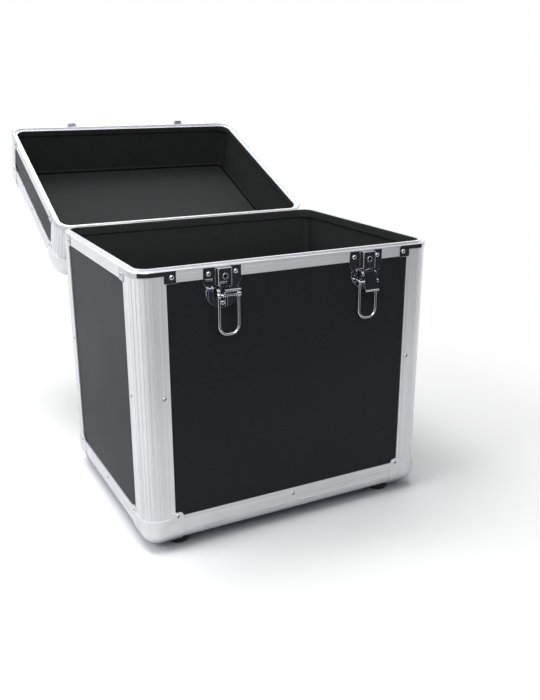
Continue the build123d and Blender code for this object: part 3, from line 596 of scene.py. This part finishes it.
def traySurface(low, high):
    # down the wall, finely near the fold, round a quarter-circle fold, then over the floor to its middle
    shape = trayShape
    center = (np.asarray(low) + high) / 2
    a, b = (np.asarray(high) - low)[:2] / 2 - shape["thickness"]
    outline = trayOutline(a, b, shape["fold"])
    wallTop, floor = high[2], low[2] + shape["thickness"]
    foldTop = floor + shape["fold"]
    fineTop = foldTop + shape["wrinkleReach"]
    drop = np.concatenate([np.linspace(wallTop, fineTop, shape["wallSteps"])[:-1],
                           np.linspace(fineTop, foldTop, shape["fineSteps"])[:-1]])
    turn = np.linspace(0, np.pi / 2, shape["foldSteps"])
    wall = np.stack([np.zeros(len(drop)), drop, np.zeros(len(drop))], 1)
    fold = np.stack([shape["fold"] * (1 - np.cos(turn)), floor + shape["fold"] * (1 - np.sin(turn)), turn], 1)
    profile = np.concatenate([wall, fold])
    inset, height, tilt = profile.T[:, :, None]
    point = outline[None, :, :2] - inset[..., None] * outline[None, :, 2:]
    normal = np.stack([np.cos(tilt) * outline[None, :, 2], np.cos(tilt) * outline[None, :, 3],
                       np.broadcast_to(-np.sin(tilt), (len(profile), len(outline)))], -1)
    ring = np.concatenate([point, np.broadcast_to(height, point.shape[:2])[..., None]], -1)
    last, spine = ring[-1], ring[-1].copy()
    spine[:, 0] = np.clip(last[:, 0], -(a - b), a - b)
    spine[:, 1] = 0
    inward = np.linspace(0, 1, shape["floorSteps"])[1:, None, None]
    ring = np.concatenate([ring, last * (1 - inward) + spine * inward])
    normal = np.concatenate([normal, np.broadcast_to(normal[-1], (len(inward), *normal[-1].shape))])
    around = np.cumsum(np.linalg.norm(np.diff(outline[:, :2], axis=0, prepend=outline[:1, :2]), axis=1))
    away = np.concatenate([drop - foldTop, np.zeros(len(turn)), np.full(len(inward), shape["wrinkleReach"])])
    fromSeam = np.concatenate([np.ones(len(drop)), np.abs(turn - np.pi / 4) * shape["fold"],
                               np.ones(len(inward))])
    sinking, paintedCreaseShade = traySinking(ring, around, away[:, None], fromSeam[:, None])
    return ring + normal * sinking[..., None] + [center[0], center[1], 0], paintedCreaseShade


def liningTray(name, nodeName, body, flip, turn):
    # the tray is worked out with the lid shut and its mouth up, then mirrored and turned to where its node is
    points = np.array([vertex.co for vertex in nodes[nodeName].data.vertices])
    shut = aboutHinge(points, -turn)
    shut[:, 2] *= flip
    surface, paintedCreaseShade = traySurface(shut.min(0), shut.max(0))
    surface[..., 2] *= flip
    tray = gridMesh(name, aboutHinge(surface, turn), lining, paintedCreaseShade=paintedCreaseShade)
    tray.data.flip_normals()  # into the case, so that the sheet's thickness grows towards the panels
    thicken(tray, trayShape["sheet"], -1)
    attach(tray, body)
    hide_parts(nodeName)


stripShape = {"thickness": 0.3 * mm, "inset": 7.35 * mm, "corner": 14.05 * mm, "steps": 7,
              "bodyFrom": 318.0 * mm, "bodyTo": 329.7 * mm, "lidFrom": 330.6 * mm, "lidTo": 339.6 * mm}


def liningStrip(name, body, low, high, turn):
    # a straight band of the same foam over the rim's inner lip: the rounded outline carried from low to high
    rimLow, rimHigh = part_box("body_rim")
    center = np.array((rimLow + rimHigh) / 2)
    a, b = np.array(rimHigh - rimLow)[:2] / 2 - stripShape["inset"]
    outline = trayOutline(a, b, stripShape["corner"])[:, :2] + center[:2]
    height = np.linspace(high, low, stripShape["steps"])
    band = np.concatenate([np.broadcast_to(outline, (len(height), *outline.shape)),
                           np.broadcast_to(height[:, None, None], (len(height), len(outline), 1))], -1)
    strip = gridMesh(name, aboutHinge(band, turn), lining)
    thicken(strip, stripShape["thickness"], 1)
    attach(strip, body)


liningTray("foamLining_body", "body_lining", "body", 1, 0.0)
liningTray("foamLining_lid", "lid_lining", "lid", -1, lidTilt)
liningStrip("foamStrip_body", "body", stripShape["bodyFrom"], stripShape["bodyTo"], 0.0)
liningStrip("foamStrip_lid", "lid", stripShape["lidFrom"], stripShape["lidTo"], lidTilt)
print("linings laid")


wingShape = {"radius": 20.5 * mm, "center": 19.3 * mm, "near": 7.5 * mm, "far": 38.5 * mm, "round": 6 * mm,
             "thickness": 1.1 * mm, "sink": 0.02 * mm, "steps": 29}


def wingSurface():
    # the ball corner's face on the top or underside, as depth over a square with one rounded corner:
    # depth = center - sqrt(radius^2 - (center - x)^2 - (center - y)^2), each bracket no less than nothing
    shape = wingShape
    center = shape["center"]
    steps = np.linspace(0, 1, shape["steps"])[None, :]
    y = np.linspace(shape["near"], shape["far"], shape["steps"])[:, None]
    over = np.clip(y - shape["far"] + shape["round"], 0, None)
    reach = shape["far"] - shape["round"] + np.sqrt(shape["round"] ** 2 - over ** 2)
    x = shape["near"] + (reach - shape["near"]) * steps
    y = np.broadcast_to(y, x.shape)
    inX, inY = np.clip(center - x, 0, None), np.clip(center - y, 0, None)
    depth = center - np.sqrt(shape["radius"] ** 2 - inX ** 2 - inY ** 2) + shape["sink"]
    return x, y, depth


def cornerWings(name, nodeName, body, level, up, turn):
    # one wing at each corner closes the gap between the cap, the two bars' ends and the panel
    x, y, depth = wingSurface()
    outward = turnedX(np.array([0, 0, up]), turn)
    wings = []
    for sideX, sideY in corners:
        surface = np.stack([sideX * (case["halfWidth"] - x), case["middle"] + sideY * (case["halfDepth"] - y),
                            level - up * depth], -1)
        wing = gridMesh("wing", aboutHinge(surface, turn), finishFor(nodeName), closeAround=False)
        if sum(face.normal.dot(outward) * face.area for face in wing.data.polygons) < 0:
            wing.data.flip_normals()
        wings.append(wing)
    piece = joined(name, wings)
    thicken(piece, wingShape["thickness"], -1)
    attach(piece, body)


cornerWings("cornerWings_lid", "lid_ball_corners", "lid", case["lidTop"], 1, lidTilt)
cornerWings("cornerWings_body", "body_ball_corners", "body", case["floor"], -1, 0.0)
print("corner wings made")


footShape = {"radius": 15 * mm, "taper": 2 * mm, "height": 7 * mm, "edge": 1.4 * mm, "edgeSteps": 7,
             "topEdge": 0.4 * mm, "recess": 4.6 * mm, "recessDepth": 3.6 * mm, "recessLip": 0.6 * mm,
             "insetX": 46 * mm, "insetY": 25 * mm, "around": 48}


def footProfile():
    # out of the screw recess, round the bottom edge, up the tapering wall and in to the case
    shape = footShape
    radius, edge, top = shape["radius"], shape["edge"], shape["height"]
    recess, lip = shape["recess"], shape["recessLip"]
    low = radius - shape["taper"]
    turn = np.linspace(0, np.pi / 2, shape["edgeSteps"])
    rounded = np.stack([low - edge + edge * np.sin(turn), edge - edge * np.cos(turn)], 1)
    mouth = np.stack([recess + lip * (1 - np.sin(turn)), lip * (1 - np.cos(turn))], 1)
    inside = np.concatenate([[(0, shape["recessDepth"]), (recess, shape["recessDepth"])], mouth[::-1]])
    wall = [(radius, top - shape["topEdge"]), (radius - shape["topEdge"], top), (0, top)]
    return np.concatenate([inside, rounded, wall])


feet = []
for number, (sideX, sideY) in enumerate(corners):
    place = (sideX * (case["halfWidth"] - footShape["insetX"]),
             sideY * (case["halfDepth"] - footShape["insetY"]) + case["middle"], 0)
    feet.append(lathe(f"foot{number}", footProfile(), place, (0, 0, 1), rubber, footShape["around"]))
feetPiece = joined("rubberFeet", feet)
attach(feetPiece, "body")
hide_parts("rubber_feet")
print("feet made")


gripShape = {"length": 84 * mm, "width": 22 * mm, "thickness": 18 * mm, "swell": 0.06, "ribs": 14,
             "ribDepth": 0.35 * mm, "ribReach": 0.86, "endRadius": 4 * mm, "endShare": 0.72, "along": 61,
             "around": 56}


def gripSurface(center):
    # x runs along the grip; section is an ellipse whose size swells in the middle, with ribs round it
    shape = gripShape
    u = np.linspace(-1, 1, shape["along"])
    v = np.linspace(0, 2 * np.pi, shape["around"], endpoint=False)
    half = shape["length"] / 2
    fromEnd = half * (1 - np.abs(u))
    ends = np.sqrt(np.clip(1 - np.clip(1 - fromEnd / shape["endRadius"], 0, 1) ** 2, 0, 1))
    ends = shape["endShare"] + (1 - shape["endShare"]) * ends
    swell = (1 - shape["swell"] + shape["swell"] * np.cos(np.pi * u / 2)) * ends
    wave = 0.5 - 0.5 * np.cos(2 * np.pi * u * shape["ribs"] / (2 * shape["ribReach"]))
    ribs = np.where(np.abs(u) < shape["ribReach"], wave, 0)
    inward = (shape["ribDepth"] * ribs)[:, None]
    y = (shape["width"] / 2 * swell[:, None] - inward) * np.cos(v)
    z = (shape["thickness"] / 2 * swell[:, None] - inward) * np.sin(v)
    x = np.broadcast_to((half * u)[:, None], y.shape)
    return np.asarray(center) + np.stack([x, y, z], -1)


gripLow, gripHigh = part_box("handle_grip")
gripCenter = np.array((gripLow + gripHigh) / 2)
grip = gridMesh("mouldedGrip", gripSurface(gripCenter), gripPlastic, caps=True)
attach(grip, "handle")
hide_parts("handle_grip")
print("grip made")


def seenRays(tree):
    # 1 for what the camera, a reflection or glass sees, 0 for light on the object
    path = addNode(tree, "ShaderNodeLightPath").outputs
    direct = addNode(tree, "ShaderNodeMath", links={0: path["Is Camera Ray"], 1: path["Is Glossy Ray"]},
                     operation="MAXIMUM")
    return addNode(tree, "ShaderNodeMath", links={0: direct.outputs[0], 1: path["Is Transmission Ray"]},
                   operation="MAXIMUM").outputs[0]


def stagePlane(name, halfX, halfY, material):
    # a flat rectangle of the studio, centred on the origin
    mesh = bpy.data.meshes.new(name)
    mesh.from_pydata([(-halfX, -halfY, 0), (halfX, -halfY, 0), (halfX, halfY, 0), (-halfX, halfY, 0)], [],
                     [(0, 1, 2, 3)])
    piece = placed(name, mesh)
    dress(piece, material)
    return piece


sweep = {"paper": "#F4F4F2", "seenGain": 2.05, "mirroredGain": 1.45, "paintedContactShade": (0.26, 0.26, 0.30, 1.0),
         "paintedShadeReach": 70 * mm, "paintedShadeClear": 0.8, "paintedShadeSamples": 12,
         "clearFrom": 0.3, "clearTo": 0.75}


def whiteFloor():
    # white paper sweep: seen directly it is white, and keeps the case's soft shadow near the case, darkened
    # further by a painted contact shade from ambient occlusion
    white = hexLinear("#FFFFFF")
    material = bpy.data.materials.new("whitePaperSweep")
    tree = emptyTree(material)
    plain = addNode(tree, "ShaderNodeBsdfDiffuse", {"Color": hexLinear(sweep["paper"])})
    # painted contact shade: the paper's colour falls to a bluish grey where ambient occlusion finds the case
    # close above it
    hollow = addNode(tree, "ShaderNodeAmbientOcclusion", {"Distance": sweep["paintedShadeReach"]},
                     samples=sweep["paintedShadeSamples"])
    paintedContactShade = addNode(tree, "ShaderNodeValToRGB", links={"Fac": hollow.outputs["AO"]}, stops=[
        (0.0, sweep["paintedContactShade"]), (sweep["paintedShadeClear"], white)]).outputs["Color"]
    camera = addNode(tree, "ShaderNodeLightPath").outputs["Is Camera Ray"]
    gain = addNode(tree, "ShaderNodeMapRange", {"To Min": sweep["mirroredGain"], "To Max": sweep["seenGain"]},
                   {"Value": camera}).outputs["Result"]
    bright = addNode(tree, "ShaderNodeVectorMath", links={0: paintedContactShade, "Scale": gain}, operation="SCALE")
    near = addNode(tree, "ShaderNodeBsdfDiffuse", links={"Color": bright.outputs["Vector"]})
    clear = addNode(tree, "ShaderNodeEmission", {"Color": white, "Strength": 1.0})
    place = addNode(tree, "ShaderNodeTexCoord")
    offset = addNode(tree, "ShaderNodeVectorMath", {1: (0, case["middle"], 0)}, {0: place.outputs["Object"]},
                     operation="SUBTRACT")
    away = addNode(tree, "ShaderNodeVectorMath", links={0: offset.outputs["Vector"]}, operation="LENGTH")
    fade = addNode(tree, "ShaderNodeMapRange", {"From Min": sweep["clearFrom"], "From Max": sweep["clearTo"]},
                   {"Value": away.outputs["Value"]}, interpolation_type="SMOOTHSTEP")
    shown = addNode(tree, "ShaderNodeMixShader",
                    links={0: fade.outputs["Result"], 1: near.outputs[0], 2: clear.outputs[0]})
    mix = addNode(tree, "ShaderNodeMixShader",
                  links={0: seenRays(tree), 1: plain.outputs[0], 2: shown.outputs[0]})
    addNode(tree, "ShaderNodeOutputMaterial", links={"Surface": mix.outputs[0]})
    return material


def studioWorld(level):
    # white where it is seen, and a little even light from all round
    world = bpy.data.worlds.new("studio")
    bpy.context.scene.world = world
    tree = emptyTree(world)
    room = addNode(tree, "ShaderNodeBackground", {"Color": hexLinear("#FFFFFF"), "Strength": level})
    white = addNode(tree, "ShaderNodeBackground", {"Color": hexLinear("#FFFFFF"), "Strength": 1.0})
    mix = addNode(tree, "ShaderNodeMixShader",
                  links={0: seenRays(tree), 1: room.outputs[0], 2: white.outputs[0]})
    addNode(tree, "ShaderNodeOutputWorld", links={"Surface": mix.outputs[0]})


def aim(piece, place, target, front):
    # the piece stands at place, its front axis towards target
    piece.location = place
    piece.rotation_euler = (Vector(target) - Vector(place)).to_track_quat(front, "Y").to_euler()


def softbox(name, place, target, size, power):
    # a rectangular lamp, its power in watts
    light = bpy.data.lights.new(name, "AREA")
    light.shape = "RECTANGLE"
    light.size, light.size_y = size
    light.energy = power
    lamp = placed(name, light)
    aim(lamp, place, target, "-Z")
    return lamp


def keepOff(lamp, floor):
    # the lamp lights everything but the floor, as if a card shaded the paper from it
    shaded = bpy.data.collections.new(lamp.name + "Shaded")
    shaded.objects.link(floor)
    shaded.collection_objects[0].light_linking.link_state = "EXCLUDE"
    lamp.light_linking.receiver_collection = shaded


def flag(name, place, target, size):
    # a dark studio card that only reflections see: a faint glow standing in for the dark room, a painted
    # reflection shaded from its left edge to its right
    halfX, halfY = size[0] / 2, size[1] / 2
    material = bpy.data.materials.new(name + "Cloth")
    tree = emptyTree(material)
    coords = addNode(tree, "ShaderNodeTexCoord").outputs["Object"]
    parts = addNode(tree, "ShaderNodeSeparateXYZ", links={"Vector": coords})
    across = addNode(tree, "ShaderNodeMapRange", {"From Min": -halfX, "From Max": halfX},
                     {"Value": parts.outputs["X"]})
    shade = addNode(tree, "ShaderNodeValToRGB", links={"Fac": across.outputs["Result"]}, stops=[
        (0.0, hexLinear(studio["flagLeft"])), (1.0, hexLinear(studio["flagRight"]))])
    paintedReflection = addNode(tree, "ShaderNodeEmission", {"Strength": 1.0}, {"Color": shade.outputs["Color"]})
    addNode(tree, "ShaderNodeOutputMaterial", links={"Surface": paintedReflection.outputs[0]})
    card = stagePlane(name, halfX, halfY, material)
    aim(card, place, target, "Z")
    card.visible_camera = False
    card.visible_diffuse = False
    card.visible_shadow = False
    card.visible_transmission = False


studio = {
    "worldLevel": 0.06, "floorReach": 6.0, "flagLeft": "#22262F", "flagRight": "#45413F",
    "cameraPlace": (-0.4352, -1.0585, 0.5134), "azimuth": -27.6, "elevation": 18.4,
    "lens": 41.75, "filmWidth": 36, "clipEnd": 100,  # lens and film in millimetres
    # place, target, size in metres and power in watts; the last two lamps skip the floor
    "lamps": {"keyLeft": ((-2.1, 0.0, 1.6), (0, -0.1, 0.2), (1.6, 1.4), 15),
              "topSoft": ((-0.3, 0.2, 2.4), (0, 0, 0.2), (1.6, 1.6), 26),
              "frontFill": ((-0.8, -1.9, 1.8), (0, -0.1, 0.2), (1.6, 1.2), 26),
              "frontLow": ((0.0, -2.7, 0.8), (0, -0.1, 0.2), (1.0, 0.5), 12)},
    "offFloor": ("frontFill", "frontLow"),
    # place, target and size
    "flags": {"darkRoomFront": ((0.4, -3.0, 1.0), (0, 0, 0.6), (6.0, 2.6)),
              "darkFloorFront": ((0.4, -1.75, 0.004), (0.4, -1.75, 1.0), (4.4, 2.0))},
}
floor = stagePlane("floor", studio["floorReach"], studio["floorReach"], whiteFloor())
studioWorld(studio["worldLevel"])
lamps = {name: softbox(name, *settings) for name, settings in studio["lamps"].items()}
for name in studio["offFloor"]:
    keepOff(lamps[name], floor)
for name, settings in studio["flags"].items():
    flag(name, *settings)

camera = bpy.data.cameras.new("camera")
camera.lens = studio["lens"]
camera.sensor_width = studio["filmWidth"]
camera.clip_end = studio["clipEnd"]
cameraObject = placed("camera", camera)
azimuth, elevation = math.radians(studio["azimuth"]), math.radians(studio["elevation"])
forward = Vector((-math.sin(azimuth) * math.cos(elevation), math.cos(azimuth) * math.cos(elevation),
                  -math.sin(elevation)))
cameraObject.location = studio["cameraPlace"]
cameraObject.rotation_euler = forward.to_track_quat("-Z", "Y").to_euler()
bpy.context.scene.camera = cameraObject
bpy.context.scene.view_settings.view_transform = "Standard"
print("studio ready")
